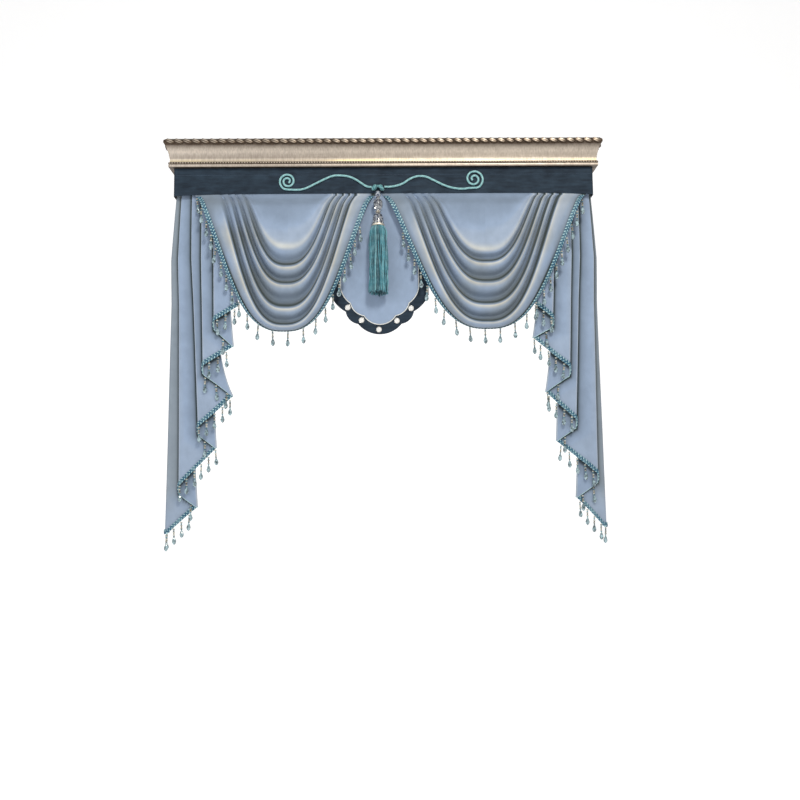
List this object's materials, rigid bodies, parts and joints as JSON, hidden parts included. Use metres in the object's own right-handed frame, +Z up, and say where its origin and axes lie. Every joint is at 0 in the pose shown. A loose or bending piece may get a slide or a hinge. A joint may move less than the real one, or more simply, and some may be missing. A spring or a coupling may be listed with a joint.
{
  "type": "window valance with cornice",
  "caption": "Moulded cornice on a dust board carrying a velvet heading band with draped swags, folded side tails, a scalloped pendant, bead fringe, a scroll cord and a tassel.",
  "frame": {"origin": "middle of the dust board's rear face, which goes against the wall", "axes": "+X to the viewer's right along the wall, +Y into the wall, +Z up"},
  "size_m": [1.8118, 0.2464, 1.659],
  "materials": {
    "moulding": "antique silver-gold leaf, carved",
    "board": "plain, unpainted",
    "navy_velvet": "short-pile velvet, mottled",
    "blue_velvet": "short-pile velvet",
    "braid": "twisted braid with bead drops",
    "piping": "satin piping",
    "pearl": "pearl",
    "cord": "twisted rope cord",
    "crystal": "clear, faceted",
    "gold": "bright",
    "yarn": "twisted bullion strands"
  },
  "bodies": {
    "root": {"cornice_front": "moulding", "cornice_left": "moulding", "cornice_right": "moulding", "dust_board": "board", "heading_band": "navy_velvet", "swag_left": "blue_velvet", "swag_right": "blue_velvet", "swag_left_fringe": "braid", "swag_right_fringe": "braid", "tail_left": "blue_velvet", "tail_right": "blue_velvet", "tail_left_fringe": "braid", "tail_right_fringe": "braid", "pendant_base": "navy_velvet", "pendant_panel": "blue_velvet", "pendant_piping": "piping", "stud_1": "pearl", "stud_2": "pearl", "stud_3": "pearl", "stud_4": "pearl", "stud_5": "pearl", "scroll_cord_left": "cord", "scroll_cord_right": "cord", "knot": "cord", "tassel_bead_top": "crystal", "tassel_cap": "crystal", "tassel_bead_middle": "gold", "tassel_bell": "crystal", "tassel_collar": "gold", "tassel_skirt": "yarn"}
  },
  "joints": []
}
